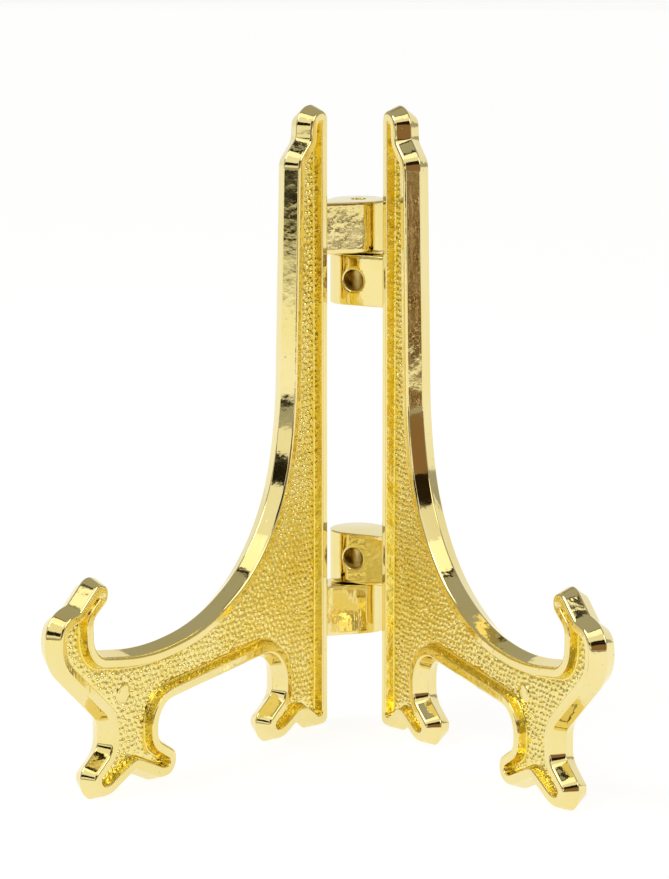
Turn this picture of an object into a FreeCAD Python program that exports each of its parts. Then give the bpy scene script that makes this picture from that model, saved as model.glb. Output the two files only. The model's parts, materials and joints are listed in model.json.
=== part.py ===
import FreeCAD, Part
import math
import os
from FreeCAD import Placement, Rotation, Vector

# Folding plate stand: two moulded sides that hinge together on two upright pins.
# Millimetres, +Z up. The stand opens towards -Y, and the hinge axis is upright on X = 0.
# Each side is drawn in its own frame: the hinge axis is its Z axis and its inner face is its XZ plane.

SIZES = [
    ("stand_height", 152.3, "ground to the corner of the crest, before it is rounded"),
    ("arm_reach", 98.0, "rear edge to the bulge of the hook, on the inner face"),
    ("half_angle", 32.15, "each side to the plane of symmetry, in degrees"),
    ("inner_depth", 3.6, "inner face to the ridge round the edge"),
    ("outer_depth", 3.6, "ridge to the outer face"),
    ("inner_bevel", 1.45, "how far the ridge stands out past the inner face"),
    ("outer_bevel", 2.6, "how far the outer face is set in from the ridge"),
    ("rim_width", 2.4, "flat rim round each recess"),
    ("recess_depth", 2.2, "depth of the recess in each face"),
    ("foot_flat", 0.4, "taken off the ridge under each toe"),
    ("hinge_setback", 12.2, "hinge axis behind the rear edge"),
    ("knuckle_radius", 6.9, "barrel of the knuckle"),
    ("knuckle_height", 12.3, "each knuckle"),
    ("web_step", 0.3, "knuckle's web behind the edges of the side"),
    ("knuckle_gap", 0.4, "between the two knuckles of a hinge"),
    ("upper_hinge", 115.9, "ground to the joint of the upper hinge"),
    ("lower_hinge", 34.9, "ground to the joint of the lower hinge"),
    ("pin_radius", 1.8, "hinge pin"),
    ("pin_clearance", 0.05, "round the pin where it turns"),
    ("pin_chamfer", 0.35, "both ends of the pin"),
    ("pin_inset", 0.3, "pin end inside the mouth of its bore"),
    ("bore_end", 1.6, "wall left at the blind end of a bore"),
    ("window_radius", 2.45, "round window in front of the pin"),
    ("window_lip", 0.6, "rounding of the mouth of the window"),
    ("window_turn", 37.5, "window axis to the inner face, in degrees"),
    ("mark_radius", 2.4, "smooth round boss on the recess floor"),
    ("mark_height", 0.35, "boss above the recess floor"),
    ("mark_root", 0.2, "boss below the recess floor"),
    ("left_mark", 23.4, "left boss behind the bulge of the hook"),
    ("right_mark", 32.3, "right boss behind the bulge of the hook"),
    ("mark_level", 22.0, "bosses above the toes"),
]

DRAWN_REACH = 98.0    # the reach that the outline's numbers are drawn for
SWEEP = None          # a corner whose arc runs on into its neighbours' arcs
SMALLEST_ROUND = 0.15

doc = FreeCAD.newDocument("PlateStand")
sheet = doc.addObject("Spreadsheet::Sheet", "Sizes")
for row, (alias, value, note) in enumerate(SIZES, start=1):
    sheet.set(f"A{row}", note)
    sheet.set(f"B{row}", str(value))
    sheet.setAlias(f"B{row}", alias)
doc.recompute()


def size(alias):
    return float(sheet.get(alias))


def foot_lift():
    # the toes' ridge reaches the ground, less the flat taken off it
    return size("inner_bevel") - size("foot_flat")


# ---- outline of a side ----

def side_corners():
    """Corners (forward, up, rounding) of the inner face, counter-clockwise, from its toes' level."""
    hook = size("arm_reach")
    crest = size("stand_height") - size("inner_bevel") - foot_lift()
    foot = hook - DRAWN_REACH
    rear_foot = [
        (0.0, 0.0, 1.6), (4.6, 0.0, 3.0), (9.6, 3.9, 1.9), (17.0, 0.0, 6.0),
        (23.0, 0.0, 3.5), (22.6, 5.0, 2.3), (16.3, 9.4, 4.0)]
    arch = [(16.2, 22.7, 8.0), (foot + 64.5, 17.7, 6.5)]
    front_foot = [
        (foot + 64.4, 8.9, 3.0), (foot + 57.9, 4.9, 2.2), (foot + 58.4, 0.0, 3.4),
        (foot + 63.2, 0.0, 4.5), (foot + 72.2, 4.1, 1.9), (foot + 81.0, 0.0, 8.0),
        (foot + 87.1, 0.0, 3.6), (foot + 86.6, 5.2, 2.3), (foot + 80.6, 9.8, 4.5)]
    hook_back = [(foot + 80.6, 17.2, 6.0), (hook + 0.2, 33.0, 9.0), (hook - 0.4, 42.8, 5.5)]
    hook_tip = [
        (hook - 6.8, 44.2, 1.9), (hook - 13.0, 49.5, 2.2),
        (hook - 16.4, 48.2, 1.6), (hook - 16.1, 45.2, 1.6)]
    cradle = [(hook - 11.2, 41.6, 3.2), (hook - 11.4, 32.6, 5.5), (foot + 67.0, 29.3, SWEEP)]
    upright = [(46.0, 32.0, SWEEP), (28.0, 42.5, SWEEP), (17.0, 58.0, SWEEP), (12.8, 76.0, SWEEP)]
    crown = [
        (10.9, crest - 11.3, 4.5), (6.4, crest - 7.0, 1.9),
        (5.9, crest - 0.7, 3.6), (0.0, crest, 2.2)]
    return rear_foot + arch + front_foot + hook_back + hook_tip + cradle + upright + crown


def turn_at(before, corner, after):
    into = math.atan2(corner[1] - before[1], corner[0] - before[0])
    out = math.atan2(after[1] - corner[1], after[0] - corner[0])
    return (out - into + math.pi) % (2 * math.pi) - math.pi


def moved_corner(before, corner, after, outward):
    # where the two sides of a corner meet once both have moved outward
    half = turn_at(before, corner, after) / 2
    into = math.atan2(corner[1] - before[1], corner[0] - before[0])
    along = into + half - math.pi / 2
    step = outward / math.cos(half)
    return corner[0] + step * math.cos(along), corner[1] + step * math.sin(along)


def outline(outward=0.0):
    """Corners of the inner face moved outward, each with its own rounding."""
    corners = side_corners()
    count = len(corners)
    moved = []
    for i, corner in enumerate(corners):
        before, after = corners[i - 1], corners[(i + 1) % count]
        turn = turn_at(before, corner, after)
        rounding = corner[2]
        if rounding is SWEEP:
            leg = min(math.dist(before[:2], corner[:2]), math.dist(corner[:2], after[:2]))
            rounding = 0.49 * leg / math.tan(abs(turn) / 2)
        rounding += math.copysign(1, turn) * outward
        x, z = moved_corner(before, corner, after, outward)
        moved.append((x, z, max(rounding, SMALLEST_ROUND)))
    return moved


def rounded_edges(corners):
    """Lines and arcs through a closed run of rounded corners."""
    count = len(corners)
    arcs = []
    for i, (x, z, rounding) in enumerate(corners):
        before, after = corners[i - 1], corners[(i + 1) % count]
        turn = turn_at(before, corners[i], after)
        into = math.atan2(z - before[1], x - before[0])
        reach = rounding * math.tan(abs(turn) / 2)
        start = Vector(x - reach * math.cos(into), z - reach * math.sin(into), 0)
        end = Vector(x + reach * math.cos(into + turn), z + reach * math.sin(into + turn), 0)
        side = math.copysign(math.pi / 2, turn)
        middle = start + rounding * Vector(math.cos(into + side), math.sin(into + side), 0)
        circle = Part.Circle(middle, Vector(0, 0, 1), rounding)
        first, last = (start, end) if turn > 0 else (end, start)
        arc = Part.ArcOfCircle(circle, angle_of(first - middle), angle_of(last - middle))
        arcs.append((start, arc, end))
    edges = []
    for i, (start, arc, end) in enumerate(arcs):
        edges.append(arc)
        edges.append(Part.LineSegment(end, arcs[(i + 1) % count][0]))
    return edges


def angle_of(vector):
    return math.atan2(vector.y, vector.x)


# ---- pieces of a side ----

def origin_plane(body, role):
    return next(plane for plane in body.Origin.OriginFeatures if plane.Role == role)


def new_sketch(body, name, role, edges, offset=None):
    sketch = body.newObject("Sketcher::SketchObject", name)
    sketch.AttachmentSupport = [(origin_plane(body, role), "")]
    sketch.MapMode = "FlatFace"
    if offset:
        sketch.setExpression("AttachmentOffset.Base.z", offset)
    for edge in edges:
        sketch.addGeometry(edge, False)
    return sketch


def shifted(edges, x, y):
    for edge in edges:
        edge.translate(Vector(x, y, 0))
    return edges


def add_panel(body, out):
    # the solid side: inner face, ridge and outer face joined by two bevels
    sections = [
        ("InnerFace", 0.0, None),
        ("Ridge", size("inner_bevel"), f"{out} * Sizes.inner_depth"),
        ("OuterFace", size("inner_bevel") - size("outer_bevel"),
         f"{out} * (Sizes.inner_depth + Sizes.outer_depth)"),
    ]
    sketches = []
    for name, outward, offset in sections:
        edges = shifted(rounded_edges(outline(outward)), size("hinge_setback"), foot_lift())
        sketches.append(new_sketch(body, name, "XZ_Plane", edges, offset))
    loft = body.newObject("PartDesign::AdditiveLoft", "Panel")
    loft.Profile = sketches[0]
    loft.Sections = sketches[1:]
    loft.Ruled = True
    return loft


def cut_recess(body, name, outward, offset, inward):
    # a sunk field with a flat rim all round it
    edges = [edge.toShape() for edge in rounded_edges(outline(outward))]
    face = Part.Face(Part.Wire(edges))
    field = max(face.makeOffset2D(-size("rim_width")).Faces, key=lambda part: part.Area)
    lines = [sketch_edge(edge) for edge in field.OuterWire.Edges]
    sketch = new_sketch(body, name + "Field", "XZ_Plane",
                        shifted(lines, size("hinge_setback"), foot_lift()), offset)
    pocket = body.newObject("PartDesign::Pocket", name)
    pocket.Profile = sketch
    pocket.Reversed = inward
    pocket.setExpression("Length", "Sizes.recess_depth")
    return pocket


def sketch_edge(edge):
    curve = edge.Curve
    if isinstance(curve, Part.Line):
        return Part.LineSegment(edge.Vertexes[0].Point, edge.Vertexes[-1].Point)
    first, last = edge.ParameterRange
    return Part.ArcOfCircle(curve, first, last)


def add_mark(body, out, behind_hook):
    # the smooth round boss near the hook, on the floor of the inner recess
    x = size("hinge_setback") + size("arm_reach") - behind_hook
    z = foot_lift() + size("mark_level")
    circle = Part.Circle(Vector(x, z, 0), Vector(0, 0, 1), size("mark_radius"))
    sketch = new_sketch(body, "MarkOutline", "XZ_Plane", [circle],
                        f"{out} * (Sizes.recess_depth - Sizes.mark_height)")
    pad = body.newObject("PartDesign::Pad", "Mark")
    pad.Profile = sketch
    pad.Reversed = out < 0
    pad.setExpression("Length", "Sizes.mark_height + Sizes.mark_root")
    return pad


def knuckle_profile(side):
    """Round barrel with a web that runs into the rear edge of the side, front and back."""
    radius = size("knuckle_radius")
    front = Vector(size("hinge_setback"), size("web_step"), 0)
    back = Vector(size("hinge_setback") + size("web_step"), size("inner_depth"), 0)
    front_end = radius * turned(angle_of(front) - math.acos(radius / front.Length))
    back_end = radius * turned(angle_of(back) + math.acos(radius / back.Length))
    front, front_end, back_end, back = [
        Vector(p.x, side * p.y, 0) for p in (front, front_end, back_end, back)]
    circle = Part.Circle(Vector(0, 0, 0), Vector(0, 0, 1), radius)
    first, last = (front_end, back_end) if side < 0 else (back_end, front_end)
    barrel = Part.ArcOfCircle(circle, angle_of(first), angle_of(last))
    return [
        Part.LineSegment(front, front_end), barrel,
        Part.LineSegment(back_end, back), Part.LineSegment(back, front)]


def turned(angle):
    return Vector(math.cos(angle), math.sin(angle), 0)


def add_knuckle(body, name, side, bottom):
    sketch = new_sketch(body, name + "Profile", "XY_Plane", knuckle_profile(side), bottom)
    pad = body.newObject("PartDesign::Pad", name)
    pad.Profile = sketch
    pad.setExpression("Length", "Sizes.knuckle_height")
    return pad


def cut_bore(body, name, radius, bottom, length):
    bore = body.newObject("PartDesign::SubtractiveCylinder", name)
    bore.setExpression("Radius", radius)
    bore.setExpression("Height", length)
    bore.setExpression("Placement.Base.z", bottom)
    return bore


def cut_window(body, name, middle):
    # a round window square to the view of someone standing in front of the open stand
    window = body.newObject("PartDesign::SubtractiveCylinder", name)
    window.Placement = Placement(Vector(0, 0, 0), lying(-size("window_turn")))
    window.setExpression("Radius", "Sizes.window_radius")
    window.setExpression("Height", "2 * Sizes.knuckle_radius")
    window.setExpression("Placement.Base.z", middle)
    doc.recompute()
    mouth = [
        f"Edge{i}" for i, edge in enumerate(window.Shape.Edges, start=1)
        if is_window_mouth(edge, window.Placement.Base.z)]
    lip = body.newObject("PartDesign::Fillet", name + "Lip")
    lip.Base = (window, mouth)
    lip.setExpression("Radius", "Sizes.window_lip")
    return lip


def lying(angle):
    # turns a cylinder's axis level, at this angle to X
    return Rotation(Vector(0, 0, 1), turned(math.radians(angle)))


def is_window_mouth(edge, level):
    # the mouth goes round the window's axis, out beyond the bore
    box = edge.BoundBox
    axis = turned(math.radians(-size("window_turn")))
    central = abs(box.Center.z - level) < 0.01
    wide = box.ZLength > size("window_radius")
    ahead = edge.CenterOfMass.dot(axis) > (size("knuckle_radius") + size("pin_radius")) / 2
    return central and wide and ahead and not isinstance(edge.Curve, Part.Line)


def cut_feet(body):
    # flats under the toes, at the ground
    below = body.newObject("PartDesign::SubtractiveBox", "Ground")
    below.setExpression("Length", "3 * Sizes.arm_reach")
    below.setExpression("Width", "8 * (Sizes.inner_depth + Sizes.outer_depth)")
    below.setExpression("Height", "4 * Sizes.inner_bevel")
    below.setExpression("Placement.Base.x", "-Sizes.arm_reach")
    below.setExpression("Placement.Base.y", "-4 * (Sizes.inner_depth + Sizes.outer_depth)")
    below.setExpression("Placement.Base.z", "-4 * Sizes.inner_bevel")
    return below


def make_side(label, side, behind_hook):
    """side is +1 where the outer face looks along the side's own +Y, and -1 where it looks along -Y."""
    body = doc.addObject("PartDesign::Body", label)
    body.Label = label
    out = -side
    add_panel(body, out)
    cut_recess(body, "InnerRecess", 0.0, None, side < 0)
    cut_recess(body, "OuterRecess", size("inner_bevel") - size("outer_bevel"),
               f"{out} * (Sizes.inner_depth + Sizes.outer_depth)", side > 0)
    add_mark(body, out, behind_hook)
    cut_feet(body)
    return body


def make_left_side():
    # the left side holds the pins, and its knuckles are the outermost pair
    body = make_side("left_side", -1, size("left_mark"))
    top = "Sizes.upper_hinge + Sizes.knuckle_gap / 2"
    low = "Sizes.lower_hinge - Sizes.knuckle_gap / 2 - Sizes.knuckle_height"
    add_knuckle(body, "UpperKnuckle", -1, top)
    add_knuckle(body, "LowerKnuckle", -1, low)
    cut_bore(body, "UpperBore", "Sizes.pin_radius", top, "Sizes.knuckle_height")
    cut_bore(body, "LowerBore", "Sizes.pin_radius", low, "Sizes.knuckle_height")
    return body


def make_right_side():
    # the right side turns on the pins, which show through a window in each knuckle
    body = make_side("right_side", 1, size("right_mark"))
    top = "Sizes.upper_hinge - Sizes.knuckle_gap / 2 - Sizes.knuckle_height"
    low = "Sizes.lower_hinge + Sizes.knuckle_gap / 2"
    bore = "Sizes.pin_radius + Sizes.pin_clearance"
    depth = "Sizes.knuckle_height - Sizes.bore_end"
    add_knuckle(body, "UpperKnuckle", 1, top)
    add_knuckle(body, "LowerKnuckle", 1, low)
    cut_bore(body, "UpperBore", bore, f"{top} + Sizes.bore_end", depth)
    cut_bore(body, "LowerBore", bore, low, depth)
    cut_window(body, "UpperWindow", f"{top} + Sizes.knuckle_height / 2")
    cut_window(body, "LowerWindow", f"{low} + Sizes.knuckle_height / 2")
    return body


def make_pin(label, bottom):
    body = doc.addObject("PartDesign::Body", label)
    body.Label = label
    circle = Part.Circle(Vector(0, 0, 0), Vector(0, 0, 1), size("pin_radius"))
    sketch = new_sketch(body, "Section", "XY_Plane", [circle], bottom)
    shaft = body.newObject("PartDesign::Pad", "Shaft")
    shaft.Profile = sketch
    shaft.setExpression(
        "Length",
        "2 * Sizes.knuckle_height + Sizes.knuckle_gap - Sizes.bore_end - 2 * Sizes.pin_inset")
    doc.recompute()
    ends = [
        f"Edge{i}" for i, edge in enumerate(shaft.Shape.Edges, start=1)
        if isinstance(edge.Curve, Part.Circle)]
    chamfer = body.newObject("PartDesign::Chamfer", "Ends")
    chamfer.Base = (shaft, ends)
    chamfer.setExpression("Size", "Sizes.pin_chamfer")
    return body


# ---- assembly ----

left = make_left_side()
right = make_right_side()
upper_pin = make_pin(
    "upper_hinge_pin",
    "Sizes.upper_hinge - Sizes.knuckle_gap / 2 - Sizes.knuckle_height"
    " + Sizes.bore_end + Sizes.pin_inset")
lower_pin = make_pin(
    "lower_hinge_pin",
    "Sizes.lower_hinge - Sizes.knuckle_gap / 2 - Sizes.knuckle_height + Sizes.pin_inset")
doc.recompute()

pieces = [left, right, upper_pin, lower_pin]
left.Placement = Placement(Vector(0, 0, 0), Rotation(Vector(0, 0, 1), -90 - size("half_angle")))
right.Placement = Placement(Vector(0, 0, 0), Rotation(Vector(0, 0, 1), -90 + size("half_angle")))
doc.recompute()
reach = FreeCAD.BoundBox(left.Shape.BoundBox)
reach.add(right.Shape.BoundBox)
for piece in pieces:
    piece.Placement.Base = Vector(0, -reach.Center.y, 0)
doc.recompute()

for item in doc.Objects:
    if "Invalid" in item.State or "Error" in item.State:
        raise RuntimeError(f"{item.Name} did not rebuild: {item.State}")
for piece in pieces:
    if piece.Shape.isNull() or not piece.Shape.isValid() or len(piece.Shape.Solids) != 1:
        raise RuntimeError(f"{piece.Label} is not one valid solid")

os.makedirs("parts", exist_ok=True)
for piece in pieces:
    piece.Shape.exportStep(f"parts/{piece.Label}.step")
    box = piece.Shape.BoundBox
    print(f"{piece.Label}: volume {piece.Shape.Volume:.1f}, "
          f"box {box.XLength:.1f} x {box.YLength:.1f} x {box.ZLength:.1f}")
print(f"hinge axis at y = {-reach.Center.y:.3f}")
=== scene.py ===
import json
import math
import random
import bmesh
import bpy
import numpy as np
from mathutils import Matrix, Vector
from mathutils.geometry import delaunay_2d_cdt
from mathutils.kdtree import KDTree


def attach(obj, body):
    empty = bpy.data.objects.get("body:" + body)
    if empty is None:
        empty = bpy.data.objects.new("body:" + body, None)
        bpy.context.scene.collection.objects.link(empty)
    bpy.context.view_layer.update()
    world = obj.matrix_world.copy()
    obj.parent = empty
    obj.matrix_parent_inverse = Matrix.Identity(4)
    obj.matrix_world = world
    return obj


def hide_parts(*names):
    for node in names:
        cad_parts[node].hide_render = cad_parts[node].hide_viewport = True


# Folding plate stand: two gilt mouldings that turn on two upright pins.
# The shapes are drawn in millimetres and turned into metres as each mesh is made.

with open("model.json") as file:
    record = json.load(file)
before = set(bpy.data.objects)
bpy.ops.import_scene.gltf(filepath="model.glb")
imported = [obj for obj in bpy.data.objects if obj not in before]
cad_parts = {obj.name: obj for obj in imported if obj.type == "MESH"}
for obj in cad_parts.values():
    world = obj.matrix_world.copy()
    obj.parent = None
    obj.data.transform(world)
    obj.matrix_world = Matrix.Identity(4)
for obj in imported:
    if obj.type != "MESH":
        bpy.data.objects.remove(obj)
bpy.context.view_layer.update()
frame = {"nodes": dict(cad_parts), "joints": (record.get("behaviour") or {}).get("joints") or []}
mm = 0.001
hinge = frame["joints"][0]
hingeY = hinge["pos_m"][1] / mm
print("frame loaded, hinge axis at y =", round(hingeY, 3), "mm")


def polar(angle):
    return np.array([math.cos(angle), math.sin(angle)])


def roundedLine(points, radii, steps=4, hold=0.06):
    # a line whose inner corners are arcs, with a point just before and after each arc
    line = [points[0]]
    for i, radius in enumerate(radii, start=1):
        before, corner, after = (np.array(points[j], float) for j in (i - 1, i, i + 1))
        into = (corner - before) / np.linalg.norm(corner - before)
        out = (after - corner) / np.linalg.norm(after - corner)
        turn = math.acos(float(np.clip(into @ out, -1, 1)))
        reach = radius * math.tan(turn / 2)
        start, end = corner - reach * into, corner + reach * out
        middle = start + radius * (out - (out @ into) * into) / math.sin(turn)
        line.append(tuple(start - hold * into))
        for step in range(steps + 1):
            angle = turn * step / steps
            away = -(middle - start) / radius
            line.append(tuple(middle + radius * (away * math.cos(angle) + into * math.sin(angle))))
        line.append(tuple(end + hold * out))
    return line + [points[-1]]


def triangulate(points, edges):
    # triangles that fill the closed loops; each corner knows which given point it came from
    found = delaunay_2d_cdt([Vector(p) for p in points], edges, [], 1, 1e-5)
    places, faces, origins = found[0], found[2], found[3]
    source = [ids[0] if ids else -1 for ids in origins]
    return np.array([tuple(p) for p in places]), [tuple(f) for f in faces], source


def loopEdges(first, count):
    return [(first + i, first + (i + 1) % count) for i in range(count)]


def newShell():
    return {"points": [], "faces": [], "finish": []}


def addPatch(shell, points, faces, finish):
    first = len(shell["points"])
    shell["points"].extend(tuple(p) for p in points)
    shell["faces"].extend(tuple(first + i for i in face) for face in faces)
    shell["finish"].extend(finish if isinstance(finish, list) else [finish] * len(faces))


def addRings(shell, rings, finish=0):
    # quads between neighbouring rings with the same number of points
    count = len(rings[0])
    faces = []
    for low in range(0, (len(rings) - 1) * count, count):
        for i in range(count):
            following = (i + 1) % count
            faces.append((low + i, low + following, low + count + following, low + count + i))
    addPatch(shell, [p for ring in rings for p in ring], faces, finish)


def makePiece(name, shells, materials, body, weld=0.004):
    # one object from closed shells, each welded and turned the right way out
    whole = bmesh.new()
    for shell in shells:
        part = bmesh.new()
        corners = [part.verts.new(Vector(p) * mm) for p in shell["points"]]
        for face, finish in zip(shell["faces"], shell["finish"]):
            try:
                part.faces.new([corners[i] for i in face]).material_index = finish
            except ValueError:
                continue
        bmesh.ops.remove_doubles(part, verts=part.verts, dist=weld * mm)
        bmesh.ops.dissolve_degenerate(part, edges=part.edges, dist=weld * mm / 4)
        loose = [v for v in part.verts if not v.link_faces]
        bmesh.ops.delete(part, geom=loose, context="VERTS")
        bmesh.ops.recalc_face_normals(part, faces=part.faces)
        openEdges = sum(1 for e in part.edges if len(e.link_faces) != 2)
        print(f"  shell: {len(part.verts)} points, {len(part.faces)} faces, {openEdges} open edges")
        carried = bpy.data.meshes.new("carried")
        part.to_mesh(carried)
        part.free()
        whole.from_mesh(carried)
        bpy.data.meshes.remove(carried)
    mesh = bpy.data.meshes.new(name)
    whole.to_mesh(mesh)
    whole.free()
    mesh.shade_smooth()
    for material in materials:
        mesh.materials.append(material)
    piece = bpy.data.objects.new(name, mesh)
    bpy.context.scene.collection.objects.link(piece)
    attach(piece, body)
    return piece


moulding = {
    "height": 152.3,          # ground to the corner of the crest
    "reach": 98.0,            # rear edge to the bulge of the hook
    "halfAngle": 32.15,       # degrees from the plane between the two sides
    "setback": 12.2,          # hinge axis behind the rear edge
    "innerDepth": 3.6,        # inner face to ridge
    "outerDepth": 3.6,        # ridge to outer face
    "ridgeOut": 1.45,         # ridge past the inner face's edge
    "outerIn": 1.15,          # outer face's edge inside the inner one
    "footFlat": 0.4,
    "rimWidth": 2.4,
    "recessDepth": 2.2,
    "edgeRounds": (0.8, 0.4, 0.7),   # inner edge, ridge, outer edge
    "faceStart": 0.65,        # flat face taken into the ring round each edge
    "draft": 0.3,             # how far the recess wall leans, each way from the rim's width
    "wallRounds": (0.28, 0.4),       # top and foot of the recess wall
    "wallSteps": 5,           # rings on the straight of that wall
    "wallFrom": 0.1,          # where the wall's finish starts, past the top of the wall
    "floorFrom": 0.15,        # where the floor's finish starts, past its foot
    "drawnReach": 98.0,       # the reach that the feet below are drawn at
    "step": 0.55,             # along the arcs of the outline
    "straightStep": 0.88,     # along its straights
}
sweep = None          # a corner whose arc runs on into its neighbours' arcs
sweepShare = 0.49     # of the shorter side, taken by such an arc
tightest = 0.1        # smallest rounding left after the outline is moved
footLift = moulding["ridgeOut"] - moulding["footFlat"]


def sideCorners():
    # corners of the inner face: forward, up from the toes' level, rounding
    hook = moulding["reach"]
    foot = hook - moulding["drawnReach"]
    crest = moulding["height"] - moulding["ridgeOut"] - footLift
    rearFoot = [
        (0.0, 0.0, 1.6), (4.6, 0.0, 3.0), (9.6, 3.9, 1.9), (17.0, 0.0, 6.0),
        (23.0, 0.0, 3.5), (22.6, 5.0, 2.3), (16.3, 9.4, 4.0)]
    arch = [(16.2, 22.7, 8.0), (foot + 64.5, 17.7, 6.5)]
    frontFoot = [
        (foot + 64.4, 8.9, 3.0), (foot + 57.9, 4.9, 2.2), (foot + 58.4, 0.0, 3.4),
        (foot + 63.2, 0.0, 4.5), (foot + 72.2, 4.1, 1.9), (foot + 81.0, 0.0, 8.0),
        (foot + 87.1, 0.0, 3.6), (foot + 86.6, 5.2, 2.3), (foot + 80.6, 9.8, 4.5)]
    hookBack = [(foot + 80.6, 17.2, 6.0), (hook + 0.2, 33.0, 9.0), (hook - 0.4, 42.8, 5.5)]
    hookTip = [
        (hook - 6.8, 44.2, 1.9), (hook - 13.0, 49.5, 2.2),
        (hook - 16.4, 48.2, 1.6), (hook - 16.1, 45.2, 1.6)]
    cradle = [(hook - 11.2, 41.6, 3.2), (hook - 11.4, 32.6, 5.5), (foot + 67.0, 29.3, sweep)]
    upright = [(46.0, 32.0, sweep), (28.0, 42.5, sweep), (17.0, 58.0, sweep), (12.8, 76.0, sweep)]
    crown = [
        (10.9, crest - 11.3, 4.5), (6.4, crest - 7.0, 1.9),
        (5.9, crest - 0.7, 3.6), (0.0, crest, 2.2)]
    return rearFoot + arch + frontFoot + hookBack + hookTip + cradle + upright + crown


def heading(start, end):
    return math.atan2(end[1] - start[1], end[0] - start[0])


def turnAt(before, corner, after):
    return (heading(corner, after) - heading(before, corner) + math.pi) % (2 * math.pi) - math.pi


def outline(outward):
    # the outline moved outward, always with the same number of points
    corners = sideCorners()
    count = len(corners)
    moved = []
    for i, corner in enumerate(corners):
        before, after = corners[i - 1], corners[(i + 1) % count]
        turn = turnAt(before, corner, after)
        rounding = corner[2]
        if rounding is sweep:
            leg = min(math.dist(before[:2], corner[:2]), math.dist(corner[:2], after[:2]))
            rounding = sweepShare * leg / math.tan(abs(turn) / 2)
        arcSteps = max(3, round(rounding * abs(turn) / moulding["step"]))
        rounding = max(rounding + math.copysign(1, turn) * outward, tightest)
        into = heading(before, corner)
        along = into + turn / 2 - math.pi / 2
        shift = outward / math.cos(turn / 2)
        shifted = np.array(corner[:2]) + shift * polar(along)
        start = shifted - rounding * math.tan(abs(turn) / 2) * polar(into)
        side = math.copysign(math.pi / 2, turn)
        middle = start + rounding * polar(into + side)
        moved.append([middle + rounding * polar(into - side + turn * s)
                      for s in np.linspace(0, 1, arcSteps + 1)])
    points = []
    for i, arc in enumerate(moved):
        following = moved[(i + 1) % count][0]
        given = math.dist(corners[i][:2], corners[(i + 1) % count][:2])
        taken = 0
        for k in (i, i + 1):
            turn = turnAt(corners[k - 1], corners[k % count], corners[(k + 1) % count])
            taken += abs(math.tan(turn / 2)) * (corners[k % count][2] or 0)
        straightSteps = max(1, round((given - taken) / moulding["straightStep"]))
        points.extend(arc[:-1])
        points.extend(arc[-1] + (following - arc[-1]) * s / straightSteps for s in range(straightSteps))
    return np.array(points)


def normalsOf(loop):
    # unit normals that point out of an anticlockwise loop
    along = np.roll(loop, -1, 0) - np.roll(loop, 1, 0)
    along /= np.linalg.norm(along, axis=1)[:, None]
    return np.stack([along[:, 1], -along[:, 0]], 1)


def inside(loop, points):
    # even-odd test for many points at once
    found = np.zeros(len(points), bool)
    for (x0, y0), (x1, y1) in zip(loop, np.roll(loop, -1, 0)):
        if y0 != y1:
            across = (points[:, 1] < y0) != (points[:, 1] < y1)
            found ^= across & (points[:, 0] < x0 + (points[:, 1] - y0) * (x1 - x0) / (y1 - y0))
    return found


edgeSpacing = 0.12    # between the points that distances to an edge are taken from


def distanceTo(loop):
    # distance from a point to the loop
    dense = []
    for start, end in zip(loop, np.roll(loop, -1, 0)):
        steps = max(1, math.ceil(math.dist(start, end) / edgeSpacing))
        dense.extend(start + (end - start) * s / steps for s in range(steps))
    tree = KDTree(len(dense))
    for i, p in enumerate(dense):
        tree.insert((p[0], p[1], 0), i)
    tree.balance()
    return lambda points: np.array([tree.find((p[0], p[1], 0))[2] for p in points])


pebbles = {
    "pitch": 1.5,
    "jitter": 0.3,            # share of the pitch
    "height": 0.62,
    "shoulder": 0.7,          # height of the shoulder, as a share
    "shoulderAt": 0.55,       # its place between the crown of a pebble and the valley
    "saddle": 0.06,           # height between two pebbles
    "uneven": (0.75, 1.1),    # range of a pebble's height, as shares
    "wallGap": 0.16,          # clear of the recess wall
    "wallFade": (0.4, 0.35),  # pebbles nearer the wall than this are lower, down to this share
    "seed": 7,
}
mark = {
    "radius": 2.4,
    "height": 0.35,
    "round": 0.25,
    "clear": 0.15,            # free of pebbles round it
    "smooth": 0.02,           # its finish runs this far in from its edge
    "points": 40,
    "level": 22.0,            # above the toes
    "leftBehind": 23.4,       # behind the bulge of the hook, on each side
    "rightBehind": 32.3,
}


def pebbleField(low, high, seed):
    # crowns, shoulders and valleys of a close field of pebbles, with their heights
    draw = random.Random(seed)
    pitch = pebbles["pitch"]
    rowGap = pitch * math.sqrt(3) / 2
    crowns = []
    for row in range(int((high[1] - low[1]) / rowGap) + 3):
        for column in range(int((high[0] - low[0]) / pitch) + 3):
            x = low[0] + (column - 1 + 0.5 * (row % 2)) * pitch
            y = low[1] + (row - 1) * rowGap
            reach = pebbles["jitter"] * pitch
            crowns.append((x + draw.uniform(-reach, reach), y + draw.uniform(-reach, reach)))
    hull = delaunay_2d_cdt([Vector(c) for c in crowns], [], [], 0, 1e-5)
    places = np.array([tuple(p) for p in hull[0]])
    triangles = np.array([tuple(f) for f in hull[2]])
    tall = np.array([pebbles["height"] * draw.uniform(*pebbles["uneven"]) for _ in places])
    valleys = places[triangles].mean(1)
    sides = np.concatenate([triangles[:, ends] for ends in ((0, 1), (1, 2), (2, 0))])
    pairs = np.unique(np.sort(sides, 1), axis=0)
    saddles = places[pairs].mean(1)
    at = pebbles["shoulderAt"]
    shoulders = np.concatenate(
        [places[pairs[:, k]] + (saddles - places[pairs[:, k]]) * at for k in (0, 1)])
    shoulderTall = np.concatenate([tall[pairs[:, k]] * pebbles["shoulder"] for k in (0, 1)])
    points = np.concatenate([places, valleys, saddles, shoulders])
    between = np.full(len(saddles), pebbles["saddle"])
    heights = np.concatenate([tall, np.zeros(len(valleys)), between, shoulderTall])
    return points, heights


ringSlack = 0.012     # how far a ring's point may stray towards another part of the edge


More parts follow.
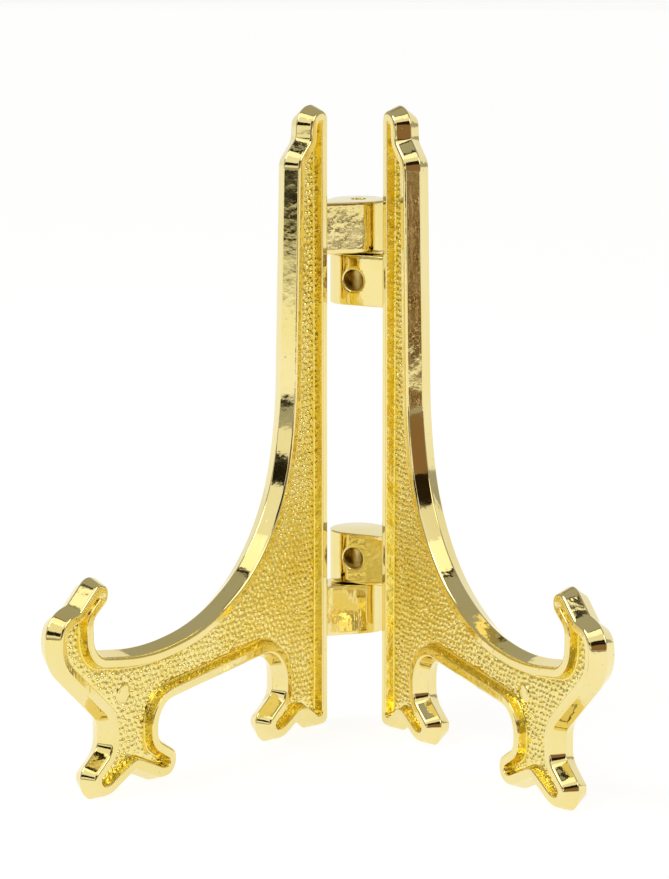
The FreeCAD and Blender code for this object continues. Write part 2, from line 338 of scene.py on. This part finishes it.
def addFace(shell, side, edge, depthOf, seed, markAt):
    # a recessed face inside the given edge: flat rim, leaning wall and pebbled floor
    m = moulding
    rimEnd = m["rimWidth"] - m["faceStart"]
    wall = roundedLine(
        [(0, 0), (rimEnd - m["draft"], 0), (rimEnd + m["draft"], m["recessDepth"]),
         (rimEnd + m["draft"] + 1, m["recessDepth"])], m["wallRounds"])
    insets, depths = np.array(wall[:-1]).T
    steepest = int(np.argmax(np.diff(depths)))     # the straight of the wall gets rings of its own
    between = np.linspace(insets[steepest], insets[steepest + 1], m["wallSteps"] + 1)[1:-1]
    depths = np.concatenate([depths, np.interp(between, insets, depths)])
    insets = np.concatenate([insets, between])
    depths, insets = depths[np.argsort(insets)], np.sort(insets)
    away = distanceTo(edge)
    normals = normalsOf(edge)
    points, edges, sink = list(edge), loopEdges(0, len(edge)), [0.0] * len(edge)
    for inset, depth in zip(insets[1:], depths[1:]):
        ring = edge - normals * inset
        kept = (away(ring) > inset - ringSlack) & inside(edge, ring)
        number = {}
        for i in np.flatnonzero(kept):
            number[i] = len(points)
            points.append(ring[i])
            sink.append(depth)
        for i in number:
            following = (i + 1) % len(ring)
            if following in number:
                edges.append((number[i], number[following]))
    field, tall = pebbleField(edge.min(0), edge.max(0), seed)
    within = inside(edge, field)
    field, tall = field[within], tall[within]
    gap = away(field)
    floorStart = insets[-1] + pebbles["wallGap"]
    kept = gap > floorStart
    if markAt is not None:
        kept &= np.linalg.norm(field - markAt, axis=1) > mark["radius"] + mark["clear"]
    fade, lowest = pebbles["wallFade"]
    rise = np.clip((gap - floorStart) / fade, lowest, 1)
    points.extend(field[kept])
    sink.extend(m["recessDepth"] - tall[kept] * rise[kept])
    if markAt is not None:
        outer, top = mark["radius"], mark["height"]
        for radius, height in ((outer, 0), (outer - mark["round"] / 5, 0.6 * top),
                               (outer - mark["round"], top), (outer / 2, top)):
            ring = [markAt + radius * polar(a)
                    for a in np.linspace(0, 2 * math.pi, mark["points"], endpoint=False)]
            edges.extend(loopEdges(len(points), len(ring)))
            points.extend(ring)
            sink.extend([m["recessDepth"] - height] * len(ring))
    places, faces, source = triangulate(points, edges)
    missing = [i for i, origin in enumerate(source) if origin < 0]
    depth = np.array([sink[origin] if origin >= 0 else 0 for origin in source])
    if missing:
        depth[missing] = np.interp(away(places[missing]), insets, depths)
    centres = np.array([places[list(face)].mean(0) for face in faces])
    gap = away(centres)
    onWall = gap > rimEnd - m["draft"] + m["wallFrom"]
    onFloor = gap > rimEnd + m["draft"] + m["floorFrom"]
    if markAt is not None:
        beyondMark = np.linalg.norm(centres - markAt, axis=1) > mark["radius"] - mark["smooth"]
        onWall, onFloor = onWall & beyondMark, onFloor & beyondMark
    addPatch(shell, [place(side, x, depthOf(d), z) for (x, z), d in zip(places, depth)],
             faces, [2 * int(w) - int(f) for w, f in zip(onWall, onFloor)])


def place(side, forward, outward, up):
    # a point of a side, drawn from its rear edge, inner face and toes, in the stand's own frame
    turn = math.radians(moulding["halfAngle"])
    out = forward + moulding["setback"]
    return (side * (out * math.sin(turn) + outward * math.cos(turn)),
            hingeY - out * math.cos(turn) + outward * math.sin(turn), max(up + footLift, 0))


def makePanel(side, behindHook):
    m = moulding
    depth = m["innerDepth"] + m["outerDepth"]
    section = roundedLine(
        [(-m["faceStart"], 0), (0, 0), (m["ridgeOut"], m["innerDepth"]),
         (-m["outerIn"], depth), (-m["outerIn"] - m["faceStart"], depth)], m["edgeRounds"])
    loops = [outline(outward) for outward, _ in section]
    shell = newShell()
    addRings(shell, [[place(side, x, d, z) for x, z in loop] for loop, (_, d) in zip(loops, section)])
    markAt = np.array([m["reach"] - behindHook, mark["level"]])
    seed = pebbles["seed"] + 10 * (side + 1)
    addFace(shell, side, loops[0], lambda d: d, seed, markAt)
    addFace(shell, side, loops[-1], lambda d: depth - d, seed + 1, None)
    return shell


knuckle = {
    "radius": 6.9,
    "height": 12.3,
    "gap": 0.4,
    "webStep": 0.3,
    "buried": 1.6,            # how far the web runs on inside the moulding
    "upperHinge": 115.9,
    "lowerHinge": 34.9,
    "edgeRound": 0.32,
    "windowRadius": 2.45,
    "windowLip": 0.6,
    "windowTurn": 37.5,
    "boreRadius": 1.85,
    "boreLip": 0.3,
    "boreDepth": 0.9,         # bore drawn this deep, as the pin fills the rest
    "spacing": 0.45,          # along the profile
    "rows": 16,               # up the knuckle
    "roundSteps": 4,
    "borePoints": 48,
    "windowPoints": 56,
    "windowSteps": 6,
    "windowClear": 0.2,       # no other points this near the window
    "windowFront": 3,         # what is less far forward than this isn't in front of the window
    "windowWithin": 0.6,      # share of the profile that the window lies in
    "windowWall": (0, 0.06, 0.94, 1),   # rings of its wall, back to the plane through the pin's axis
}


def knuckleProfile():
    # barrel and web seen from above, from the buried end of the web's front round to its back
    k = knuckle
    front = np.array([moulding["setback"], k["webStep"]])
    back = np.array([moulding["setback"] + k["webStep"], moulding["innerDepth"]])
    frontTurn = math.atan2(front[1], front[0]) - math.acos(k["radius"] / np.linalg.norm(front))
    backTurn = math.atan2(back[1], back[0]) + math.acos(k["radius"] / np.linalg.norm(back))
    frontEnd, backEnd = k["radius"] * polar(frontTurn), k["radius"] * polar(backTurn)
    start = front + k["buried"] * (front - frontEnd) / np.linalg.norm(front - frontEnd)
    around = 2 * math.pi - (backTurn - frontTurn)
    spacing = k["spacing"]
    points = []
    steps = math.ceil(math.dist(start, frontEnd) / spacing)
    points.extend(start + (frontEnd - start) * s / steps for s in range(steps))
    steps = math.ceil(around * k["radius"] / spacing)
    points.extend(k["radius"] * polar(frontTurn - around * s / steps) for s in range(steps))
    steps = math.ceil(math.dist(backEnd, back) / spacing)
    points.extend(backEnd + (back - backEnd) * s / steps for s in range(steps + 1))
    return np.array(points)


def placeKnuckle(side, forward, outward, up):
    return place(side, forward - moulding["setback"], outward, up - footLift)


def makeKnuckle(side, bottom, window, mouth):
    # mouth is +1 for an open bore in the top, -1 in the bottom and 0 for none
    k = knuckle
    profile = knuckleProfile()
    top = bottom + k["height"]
    shell = newShell()
    outward = -normalsOf(profile)      # the profile runs clockwise
    quarter = np.linspace(0, math.pi / 2, k["roundSteps"] + 1)
    for end, level in ((-1, bottom), (1, top)):
        rings = []
        for a in quarter:
            inset, drop = k["edgeRound"] * (1 - math.cos(a)), k["edgeRound"] * (1 - math.sin(a))
            rings.append([placeKnuckle(side, *(p - n * inset), level - end * drop)
                          for p, n in zip(profile, outward)])
        addRings(shell, rings)
        addCap(shell, side, profile - outward * k["edgeRound"], level, end, mouth == end)
    addWrap(shell, side, profile, bottom, top, window)
    return shell


def addCap(shell, side, loop, level, end, hasBore):
    # the flat end of a knuckle, with the rounded mouth of its bore
    k = knuckle
    points, edges = list(loop), loopEdges(0, len(loop))
    if hasBore:
        lip = [(k["boreRadius"] + k["boreLip"] * (1 - math.sin(a)), k["boreLip"] * (1 - math.cos(a)))
               for a in np.linspace(0, math.pi / 2, k["roundSteps"] + 1)]
        circle = [polar(a) for a in np.linspace(0, 2 * math.pi, k["borePoints"], endpoint=False)]
        edges.extend(loopEdges(len(points), len(circle)))
        points.extend(c * lip[0][0] for c in circle)
        lip.append((k["boreRadius"], k["boreDepth"]))
        rings = [[placeKnuckle(side, *(c * r), level - end * d) for c in circle] for r, d in lip]
        addRings(shell, rings)
        addPatch(shell, rings[-1], [tuple(range(len(circle)))], 0)
    places, faces, _ = triangulate(points, edges)
    if hasBore:
        mouth = k["boreRadius"] + 0.99 * k["boreLip"]      # triangles inside this would fill the mouth
        faces = [f for f in faces if np.linalg.norm(places[list(f)].mean(0)) > mouth]
    addPatch(shell, [placeKnuckle(side, x, y, level) for x, y in places], faces, 0)


def windowRings(closed, run, axis, middle):
    # rings of the window's rounded mouth, laid out flat, each with its depth
    k = knuckle
    across = np.array([-axis[1], axis[0]])
    near = np.flatnonzero((closed @ axis > k["windowFront"]) & (run < k["windowWithin"] * run[-1]))
    order = near[np.argsort((closed @ across)[near])]
    sideways, along = (closed @ across)[order], run[order]
    turns = np.linspace(0, 2 * math.pi, k["windowPoints"], endpoint=False)
    rings = []
    for a in np.linspace(0, math.pi / 2, k["windowSteps"] + 1):
        radius = k["windowRadius"] + k["windowLip"] * (1 - math.sin(a))
        ring = [(float(np.interp(radius * math.cos(t), sideways, along)), middle + radius * math.sin(t))
                for t in turns]
        rings.append((ring, k["windowLip"] * (1 - math.cos(a))))
    return rings


def addWrap(shell, side, profile, bottom, top, window):
    # the knuckle's upright surface, laid out flat, filled and bent back round the profile
    k = knuckle
    low, high = bottom + k["edgeRound"], top - k["edgeRound"]
    closed = np.concatenate([profile, profile[:1]])
    run = np.concatenate([[0], np.cumsum(np.linalg.norm(np.diff(closed, axis=0), axis=1))])
    count, columns = k["rows"], len(run)
    axis = polar(-math.radians(k["windowTurn"]))
    middle = (bottom + top) / 2

    def bend(flat):
        return np.stack([np.interp(flat[:, 0], run, closed[:, 0]),
                         np.interp(flat[:, 0], run, closed[:, 1])], 1)

    points = [(s, z) for s in run for z in np.linspace(low, high, count)]
    edges = [(i * count + j, i * count + j + 1) for i in (0, columns - 1) for j in range(count - 1)]
    edges += [(i * count + j, (i + 1) * count + j) for i in range(columns - 1) for j in (0, count - 1)]
    lift = [0.0] * len(points)
    if window:
        reach = k["windowRadius"] + k["windowLip"] + k["windowClear"]
        bent = bend(np.array(points))
        sideways = bent @ np.array([-axis[1], axis[0]])
        upward = np.array([z for _, z in points]) - middle
        kept = ~((bent @ axis > k["windowFront"]) & (np.hypot(sideways, upward) < reach))
        number = np.cumsum(kept) - 1
        edges = [(int(number[a]), int(number[b])) for a, b in edges]
        points = [p for p, keep in zip(points, kept) if keep]
        lift = [0.0] * len(points)
        for ring, depth in windowRings(closed, run, axis, middle):
            edges.extend(loopEdges(len(points), len(ring)))
            points.extend(ring)
            lift.extend([depth] * len(ring))
        hole = np.array(ring)
    places, faces, source = triangulate(points, edges)
    if window:
        blocked = inside(hole, np.array([places[list(f)].mean(0) for f in faces]))
        faces = [f for f, b in zip(faces, blocked) if not b]
    drop = np.array([lift[o] if o >= 0 else 0 for o in source])
    bent = bend(places) - drop[:, None] * axis
    addPatch(shell, [placeKnuckle(side, x, y, z) for (x, y), z in zip(bent, places[:, 1])], faces, 0)
    if window:
        mouth = bend(hole) - k["windowLip"] * axis
        rings = []
        for share in k["windowWall"]:
            rings.append([placeKnuckle(side, *(p - axis * (p @ axis) * share), z)
                          for p, z in zip(mouth, hole[:, 1])])
        addRings(shell, rings)
        addPatch(shell, rings[-1], [tuple(range(len(rings[-1])))], 0)


def newMaterial(name, metallic=0):
    material = bpy.data.materials.new(name)
    material.use_nodes = True
    nodes, links = material.node_tree.nodes, material.node_tree.links
    shader = nodes["Principled BSDF"]
    shader.inputs["Metallic"].default_value = metallic
    return material, nodes, links, shader


def noise(nodes, links, source, scale, detail=2.0, rough=0.5):
    node = nodes.new("ShaderNodeTexNoise")
    node.inputs["Scale"].default_value = scale
    node.inputs["Detail"].default_value = detail
    node.inputs["Roughness"].default_value = rough
    links.new(source, node.inputs["Vector"])
    return node.outputs["Fac"]


def ramp(nodes, links, source, stops):
    node = nodes.new("ShaderNodeValToRGB")
    bar = node.color_ramp
    while len(bar.elements) < len(stops):
        bar.elements.new(0.5)
    for element, (position, colour) in zip(bar.elements, stops):
        element.position = position
        element.color = (*colour, 1)
    links.new(source, node.inputs["Fac"])
    return node.outputs["Color"]


def bump(nodes, links, height, strength, distance, base=None):
    node = nodes.new("ShaderNodeBump")
    node.inputs["Strength"].default_value = strength
    node.inputs["Distance"].default_value = distance
    links.new(height, node.inputs["Height"])
    if base is not None:
        links.new(base, node.inputs["Normal"])
    return node.outputs["Normal"]


def uneven(nodes, links, where, kind, base=None):
    # bumps from noise, given as its scale, strength and depth
    scale, strength, distance = kind
    return bump(nodes, links, noise(nodes, links, where, scale), strength, distance, base)


gilt = {
    "colour": (0.895, 0.765, 0.36),
    "warm": (0.875, 0.735, 0.29),
    # painted light: the pebbled floors' colours are a lighter copy of the plating
    "floor": (0.94, 0.82, 0.36),
    "floorLitWarm": (0.89, 0.75, 0.25),
    # painted reflection: the recess walls' deep gold stands in for gold mirroring gold
    "wall": (0.86, 0.67, 0.09),
    "wallReflectionPale": (0.94, 0.77, 0.22),
    "pit": (0.42, 0.33, 0.12),
    "roughness": (0.035, 0.09),
    "floorRoughness": (0.07, 0.14),
    "wallRoughness": 0.16,
    "wave": (160, 0.16, 0.0004),       # unevenness: scale, strength and depth in metres
    "ripple": (800, 0.2, 0.00006),
    "streak": (420, 0.14, 0.0003),
    "streakStretch": 0.12,             # streaks run upwards
    "grain": (1500, 0.3, 0.00008),     # on the pebbles
    "pitDepth": (0.3, 0.00005),
    "wallDepth": (0.55, 0.0003),
}
pinFinish = {
    "low": (0.86, 0.66, 0.26),
    "high": (0.95, 0.78, 0.38),
    "roughness": (0.4, 0.55),
    "markStretch": 12,                 # turning marks run round the pin
    "markDepth": (0.3, 0.00006),
}


def grey(value):
    return (value, value, value)


def stretched(nodes, links, where, along):
    node = nodes.new("ShaderNodeMapping")
    node.inputs["Scale"].default_value = (1, 1, along)
    links.new(where, node.inputs["Vector"])
    return node.outputs["Vector"]


def makeGilt():
    # bright plating over moulded plastic: slightly uneven, with specks where it didn't take
    material, nodes, links, shader = newMaterial("giltPlating", 1)
    where = nodes.new("ShaderNodeTexCoord").outputs["Object"]
    drift = noise(nodes, links, where, 60)
    tone = ramp(nodes, links, drift, [(0.35, gilt["warm"]), (0.65, gilt["colour"])])
    speck = noise(nodes, links, where, 900, 3, 0.6)
    pits = ramp(nodes, links, speck, [(0.70, grey(0)), (0.76, grey(1))])
    mixed = nodes.new("ShaderNodeMixRGB")
    links.new(pits, mixed.inputs["Fac"])
    links.new(tone, mixed.inputs["Color1"])
    mixed.inputs["Color2"].default_value = (*gilt["pit"], 1)
    links.new(mixed.outputs["Color"], shader.inputs["Base Color"])
    low, high = gilt["roughness"]
    rough = ramp(nodes, links, noise(nodes, links, where, 220, 3), [(0.3, grey(low)), (0.75, grey(high))])
    links.new(rough, shader.inputs["Roughness"])
    wavy = uneven(nodes, links, where, gilt["wave"])
    rippled = uneven(nodes, links, where, gilt["ripple"], wavy)
    upright = stretched(nodes, links, where, gilt["streakStretch"])
    streaked = uneven(nodes, links, upright, gilt["streak"], rippled)
    links.new(bump(nodes, links, pits, *gilt["pitDepth"], streaked), shader.inputs["Normal"])
    return material


def makePebbled():
    # the same plating on the pebbled floors, a little rougher and deeper at its warm end; its colour is
    # painted light, a lighter and more yellow copy of the plating standing in for the light the floors
    # catch
    material, nodes, links, shader = newMaterial("litPebbledGilt", 1)
    where = nodes.new("ShaderNodeTexCoord").outputs["Object"]
    tone = ramp(nodes, links, noise(nodes, links, where, 140),
                [(0.3, gilt["floorLitWarm"]), (0.7, gilt["floor"])])
    links.new(tone, shader.inputs["Base Color"])
    low, high = gilt["floorRoughness"]
    rough = ramp(nodes, links, noise(nodes, links, where, 500), [(0.3, grey(low)), (0.7, grey(high))])
    links.new(rough, shader.inputs["Roughness"])
    links.new(uneven(nodes, links, where, gilt["grain"]), shader.inputs["Normal"])
    return material


def makeWallGilt():
    # the plating on the recess walls, with painted reflection: its deep, mottled gold is a darker copy of
    # the plating standing in for gold mirroring gold; the bumps are coarse from the tool
    material, nodes, links, shader = newMaterial("wallReflectedGilt", 1)
    where = nodes.new("ShaderNodeTexCoord").outputs["Object"]
    coarse = noise(nodes, links, where, 620)
    tone = ramp(nodes, links, coarse, [(0.35, gilt["wall"]), (0.7, gilt["wallReflectionPale"])])
    links.new(tone, shader.inputs["Base Color"])
    shader.inputs["Roughness"].default_value = gilt["wallRoughness"]
    links.new(bump(nodes, links, coarse, *gilt["wallDepth"]), shader.inputs["Normal"])
    return material


def makePinMetal():
    # drawn pin with faint turning marks
    material, nodes, links, shader = newMaterial("pinMetal", 1)
    where = nodes.new("ShaderNodeTexCoord").outputs["Object"]
    lines = noise(nodes, links, stretched(nodes, links, where, pinFinish["markStretch"]), 300)
    tone = ramp(nodes, links, lines, [(0.3, pinFinish["low"]), (0.7, pinFinish["high"])])
    links.new(tone, shader.inputs["Base Color"])
    low, high = pinFinish["roughness"]
    rough = ramp(nodes, links, lines, [(0.3, grey(low)), (0.7, grey(high))])
    links.new(rough, shader.inputs["Roughness"])
    links.new(bump(nodes, links, lines, *pinFinish["markDepth"]), shader.inputs["Normal"])
    return material


giltPlating = makeGilt()
litPebbledGilt = makePebbled()
wallReflectedGilt = makeWallGilt()
pinMetal = makePinMetal()
print("finishes made")


above = knuckle["gap"] / 2                         # bottom of the knuckle above a hinge's middle
below = -knuckle["gap"] / 2 - knuckle["height"]    # and of the one below it
upper, lower = knuckle["upperHinge"], knuckle["lowerHinge"]

leftSide = makePiece(
    "left_moulding",
    [makePanel(-1, mark["leftBehind"]),
     makeKnuckle(-1, upper + above, False, 1),
     makeKnuckle(-1, lower + below, False, -1)],
    [giltPlating, litPebbledGilt, wallReflectedGilt], "left_half")
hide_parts("left_side")
print("left moulding made")

rightSide = makePiece(
    "right_moulding",
    [makePanel(1, mark["rightBehind"]),
     makeKnuckle(1, upper + below, True, 0),
     makeKnuckle(1, lower + above, True, 0)],
    [giltPlating, litPebbledGilt, wallReflectedGilt], "right_half")
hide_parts("right_side")
print("right moulding made")

for name in ("upper_hinge_pin", "lower_hinge_pin"):
    pin = frame["nodes"][name]
    for materialSlot in pin.material_slots:
        materialSlot.material = pinMetal
print("pins finished")


studio = {
    "floorSize": 12,
    "floorColour": (0.25, 0.25, 0.25),
    "floorGlow": 0.85,
    "floorRoughness": 0.9,
    "floorShine": 0.1,
    "world": (1.0, 0.985, 0.95),
    "worldStrength": 0.4,
}
lights = {
    "keyLight": {"place": (-0.85, -0.55, 1.25), "size": (0.8, 0.7), "power": 7},
    "fillLight": {"place": (1.0, -0.45, 0.8), "size": (0.6, 0.6), "power": 2.5},
}
lightsAim = (0, 0, 0.07)


def makeFloor():
    bpy.ops.mesh.primitive_plane_add(size=studio["floorSize"], location=(0, 0, 0))
    floor = bpy.context.object
    floor.name = "floor"
    material, _, _, shader = newMaterial("paleFloor")
    shader.inputs["Base Color"].default_value = (*studio["floorColour"], 1)
    shader.inputs["Roughness"].default_value = studio["floorRoughness"]
    shader.inputs["Specular IOR Level"].default_value = studio["floorShine"]
    shader.inputs["Emission Color"].default_value = (1, 1, 1, 1)
    shader.inputs["Emission Strength"].default_value = studio["floorGlow"]
    floor.data.materials.append(material)


def makeWorld():
    world = bpy.data.worlds.new("studioRoom")
    world.use_nodes = True
    back = world.node_tree.nodes["Background"]
    back.inputs["Color"].default_value = (*studio["world"], 1)
    back.inputs["Strength"].default_value = studio["worldStrength"]
    bpy.context.scene.world = world


def makeLights():
    for name, light in lights.items():
        data = bpy.data.lights.new(name, "AREA")
        data.shape = "RECTANGLE"
        data.size, data.size_y = light["size"]
        data.energy = light["power"]
        lamp = bpy.data.objects.new(name, data)
        bpy.context.scene.collection.objects.link(lamp)
        lamp.location = light["place"]
        towards = Vector(lightsAim) - Vector(light["place"])
        lamp.rotation_euler = towards.to_track_quat("-Z", "Y").to_euler()


def addCard(name, where, aim, size, colour):
    # a flat card seen only in reflections
    bpy.ops.mesh.primitive_plane_add(size=1, location=where)
    card = bpy.context.object
    card.name = name
    card.scale = (size[0], size[1], 1)
    card.rotation_euler = (Vector(aim) - Vector(where)).to_track_quat("Z", "Y").to_euler()
    material, _, _, shader = newMaterial(name + "Colour")
    shader.inputs["Base Color"].default_value = (0, 0, 0, 1)
    shader.inputs["Specular IOR Level"].default_value = 0
    shader.inputs["Emission Color"].default_value = (*colour, 1)
    shader.inputs["Emission Strength"].default_value = 1
    card.data.materials.append(material)
    card.visible_camera = False
    card.visible_diffuse = False
    card.visible_shadow = False
    return card


# what the bright plating mirrors in front of the pale table: dim floors, walls and overhead cards
dimFloors = {
    "dimFloorLeft": {
        "near": (-1.6, -1.0), "size": (2.8, 4.8), "turn": 0, "fade": 0.65,
        "colour": (0.010, 0.008, 0.004), "streaks": ((0.004, 0.003, 0.001), (0.10, 0.08, 0.04))},
    "dimFloorRight": {
        "near": (0.22, -0.72), "size": (0.5, 5.0), "turn": 16.6, "fade": 0.08,
        "colour": (0.24, 0.14, 0.07), "streaks": ((0.02, 0.012, 0.006), (0.75, 0.6, 0.45))},
    "dimStrip": {
        "near": (0.62, -0.625), "size": (0.7, 0.085), "turn": 0, "fade": 0.02,
        "colour": (0.11, 0.055, 0.02), "streaks": ((0.06, 0.03, 0.012), (0.2, 0.12, 0.06))},
}
walls = {
    "paleWallLeft": {"x": (-3.0, 0.1), "z": (0.28, 4.4), "away": 2.45, "colour": (0.95, 0.94, 0.9)},
    "paleWallRight": {"x": (0.1, 3.0), "z": (1.8, 4.4), "away": 2.45, "colour": (0.9, 0.88, 0.84)},
    "dimWallLeft": {"x": (-3.0, -0.3), "z": (0.62, 1.3), "away": 2.4, "colour": (0.012, 0.010, 0.005)},
    "dimWallRight": {"x": (0.1, 3.0), "z": (0.92, 1.85), "away": 2.4, "colour": (0.02, 0.012, 0.006)},
    "brownWallRight": {"x": (0.1, 3.0), "z": (0.1, 0.92), "away": 2.4, "colour": (0.26, 0.15, 0.08)},
}
overhead = {
    "brightTop": {"place": (-0.58, -0.55, 1.3), "size": (0.3, 0.5), "colour": (2.2, 2.15, 2.0)},
    "paleTop": {"place": (-0.02, -0.56, 1.3), "size": (0.8, 0.5), "colour": (1.3, 1.27, 1.2)},
    "barEdge": {"place": (-0.1, -0.27, 1.3), "size": (1.6, 0.05), "colour": (0.02, 0.015, 0.008)},
    "barRight": {"place": (0.19, -0.09, 1.3), "size": (0.36, 0.1), "colour": (0.04, 0.03, 0.015)},
    "barBehind": {"place": (-0.25, 1.1, 1.3), "size": (0.6, 0.12), "colour": (0.12, 0.09, 0.04)},
}
backdrop = {"place": (0, 2.6, 0.65), "aim": (0, 0, 0.65), "size": (5, 1.3), "colour": (0.9, 0.9, 0.88)}
overheadAim = (0, 0, 0.05)
aboveFloor = 0.002


def shadeFloor(made, card, share):
    # a dim floor has streaks, and turns pale at its near edge
    nodes, links = made.active_material.node_tree.nodes, made.active_material.node_tree.links
    where = nodes.new("ShaderNodeTexCoord")
    along = nodes.new("ShaderNodeSeparateXYZ")
    links.new(where.outputs["Generated"], along.inputs["Vector"])
    edge = ramp(nodes, links, along.outputs["Y"], [(1 - share, grey(0)), (1.0, grey(1))])
    mixed = nodes.new("ShaderNodeMixRGB")
    links.new(edge, mixed.inputs["Fac"])
    mixed.inputs["Color2"].default_value = (1, 1, 1, 1)
    colour = card["colour"]
    dark, pale = card["streaks"]
    busy = noise(nodes, links, where.outputs["Object"], 11, 3, 0.6)
    streaks = ramp(nodes, links, busy, [(0.43, dark), (0.48, colour), (0.52, colour), (0.57, pale)])
    links.new(streaks, mixed.inputs["Color1"])
    links.new(mixed.outputs["Color"], nodes["Principled BSDF"].inputs["Emission Color"])


def makeRoom():
    for name, card in dimFloors.items():
        turn, (width, depth) = math.radians(card["turn"]), card["size"]
        onward = Vector((math.sin(turn), -math.cos(turn), 0))
        middle = Vector((*card["near"], aboveFloor)) + onward * depth / 2
        made = addCard(name, middle, middle + Vector((0, 0, 1)), (width, depth), card["colour"])
        made.rotation_euler = (0, 0, turn)
        shadeFloor(made, card, card["fade"] / depth)
    for name, card in walls.items():
        width, height = card["x"][1] - card["x"][0], card["z"][1] - card["z"][0]
        middle = Vector((sum(card["x"]) / 2, -card["away"], sum(card["z"]) / 2))
        made = addCard(name, middle, middle + Vector((0, 1, 0)), (width, height), card["colour"])
        made.rotation_euler = (math.pi / 2, 0, 0)
    for name, card in overhead.items():
        addCard(name, card["place"], overheadAim, card["size"], card["colour"])


view = {
    "fromAxis": (0.07268, -0.900754, 0.23526),     # from the foot of the hinge axis
    "ahead": (-0.08538, 0.97985, -0.18052),
    "lens": 154.3,
    "sensor": 36,
}


def makeCamera():
    data = bpy.data.cameras.new("camera")
    data.lens = view["lens"]
    data.sensor_width = view["sensor"]
    camera = bpy.data.objects.new("camera", data)
    bpy.context.scene.collection.objects.link(camera)
    camera.location = Vector((0, hingeY * mm, 0)) + Vector(view["fromAxis"])
    camera.rotation_euler = Vector(view["ahead"]).to_track_quat("-Z", "Y").to_euler()
    bpy.context.scene.camera = camera


makeFloor()
makeWorld()
makeLights()
addCard("paleBackdrop", backdrop["place"], backdrop["aim"], backdrop["size"], backdrop["colour"])
makeRoom()
makeCamera()
bpy.context.scene.view_settings.view_transform = "Standard"
print("studio made")
